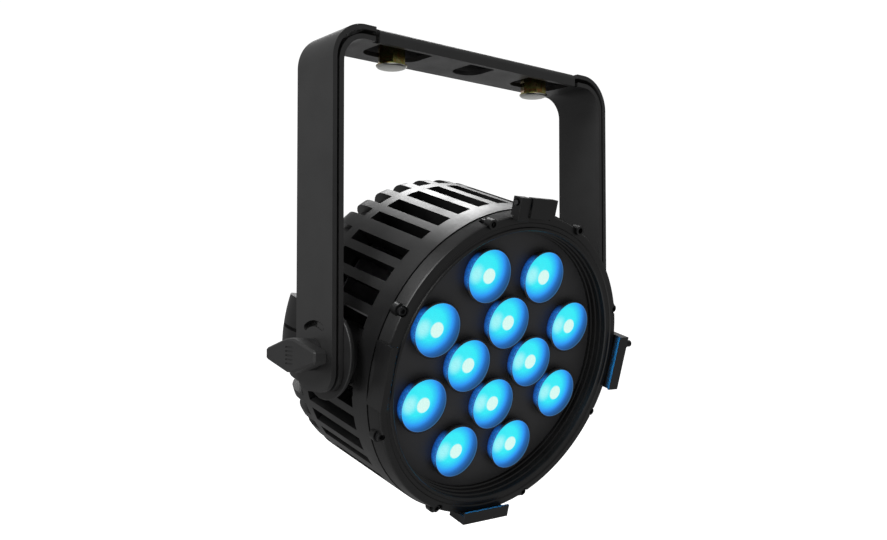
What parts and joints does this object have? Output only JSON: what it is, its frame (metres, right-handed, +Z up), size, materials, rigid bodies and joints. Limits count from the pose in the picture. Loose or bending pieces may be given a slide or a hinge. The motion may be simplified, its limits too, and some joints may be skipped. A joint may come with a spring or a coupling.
{
  "type": "LED par can light",
  "caption": "Stage par light: ribbed round lamp head with a cluster of lit lenses, hung in a double bent-sheet yoke with T-handle knobs.",
  "frame": {"origin": "middle of the crossbar's top face, where a clamp sits", "axes": "+Z up, out of the clamp face; X along the crossbar and the tilt axis; the lamp faces -Y, tipped 15.9 degrees down"},
  "size_m": [0.2874, 0.1777, 0.3267],
  "materials": {
    "powder_coat": "satin fine-textured black powder coat",
    "cast_black": "satin black paint on die-cast aluminium",
    "black_plastic": "moulded, fine matte grain",
    "plate_grey": "matte dark grey",
    "lens_blue": "clear moulded optic lit cyan blue, white at the centre",
    "aluminium": "plain, lightly brushed",
    "zinc_plate": "yellow zinc plate, iridescent",
    "steel": "dark, satin",
    "circuit_board": "solder-masked board",
    "window_dark": "glossy dark window",
    "rubber": "soft, matte"
  },
  "bodies": {
    "yoke": {"outer_bracket": "powder_coat", "bracket_bolt_left": "zinc_plate", "bracket_bolt_right": "zinc_plate", "bracket_nut_left": "zinc_plate", "bracket_nut_right": "zinc_plate"},
    "support_bracket": {"inner_bracket": "powder_coat"},
    "head": {"housing": "cast_black", "bezel": "cast_black", "lens_plate": "plate_grey", "lens_01": "lens_blue", "lens_02": "lens_blue", "lens_03": "lens_blue", "lens_04": "lens_blue", "lens_05": "lens_blue", "lens_06": "lens_blue", "lens_07": "lens_blue", "lens_08": "lens_blue", "lens_09": "lens_blue", "lens_10": "lens_blue", "lens_11": "lens_blue", "lens_12": "lens_blue", "led_board": "circuit_board", "heat_sink": "aluminium", "chassis_plate": "aluminium", "power_supply": "aluminium", "driver_board": "circuit_board", "rear_cover": "cast_black", "control_panel": "black_plastic", "display_window": "window_dark", "power_inlet": "black_plastic", "power_outlet": "black_plastic", "data_in": "black_plastic", "data_out": "black_plastic", "safety_eye": "steel", "friction_disc_left": "black_plastic", "friction_disc_right": "black_plastic", "bezel_screw_1": "steel", "bezel_screw_2": "steel", "bezel_screw_3": "steel", "bezel_screw_4": "steel", "bezel_screw_5": "steel", "bezel_screw_6": "steel", "bezel_screw_7": "steel", "bezel_screw_8": "steel", "frame_clip_left": "cast_black", "frame_clip_right": "cast_black", "frame_clip_bottom": "cast_black", "frame_lock_pin": "steel", "latch_base": "cast_black", "latch_pin": "steel"},
    "latch": {"latch_flap": "cast_black"},
    "knob_left": {"knob_left": "black_plastic", "knob_stud_left": "steel"},
    "knob_right": {"knob_right": "black_plastic", "knob_stud_right": "steel"},
    "button_menu": {"button_menu": "rubber"},
    "button_down": {"button_down": "rubber"},
    "button_up": {"button_up": "rubber"},
    "button_enter": {"button_enter": "rubber"}
  },
  "joints": [
    {"name": "head_tilt", "type": "hinge", "parent": "yoke", "child": "head", "pos_m": [0, 0, -0.206], "axis": [1, 0, 0], "range_deg": [-105.9, 74.1]},
    {"name": "support_swing", "type": "hinge", "parent": "yoke", "child": "support_bracket", "pos_m": [0, 0, -0.206], "axis": [-1, 0, 0], "range_deg": [0, 45]},
    {"name": "knob_left_turn", "type": "hinge", "parent": "head", "child": "knob_left", "pos_m": [-0.135, 0, -0.206], "axis": [1, 0, 0], "continuous": true},
    {"name": "knob_right_turn", "type": "hinge", "parent": "head", "child": "knob_right", "pos_m": [0.135, 0, -0.206], "axis": [1, 0, 0], "continuous": true},
    {"name": "latch_open", "type": "hinge", "parent": "head", "child": "latch", "pos_m": [-0.003, -0.07479, -0.11064], "axis": [-1, 0, 0], "range_deg": [0, 95], "stiffness_Nm_per_rad": 0.02},
    {"name": "button_menu_press", "type": "slide", "parent": "head", "child": "button_menu", "axis": [0, -0.9617, -0.274], "range_m": [0, 0.0008], "stiffness_N_per_m": 300},
    {"name": "button_down_press", "type": "slide", "parent": "head", "child": "button_down", "axis": [0, -0.9617, -0.274], "range_m": [0, 0.0008], "stiffness_N_per_m": 300},
    {"name": "button_up_press", "type": "slide", "parent": "head", "child": "button_up", "axis": [0, -0.9617, -0.274], "range_m": [0, 0.0008], "stiffness_N_per_m": 300},
    {"name": "button_enter_press", "type": "slide", "parent": "head", "child": "button_enter", "axis": [0, -0.9617, -0.274], "range_m": [0, 0.0008], "stiffness_N_per_m": 300}
  ]
}
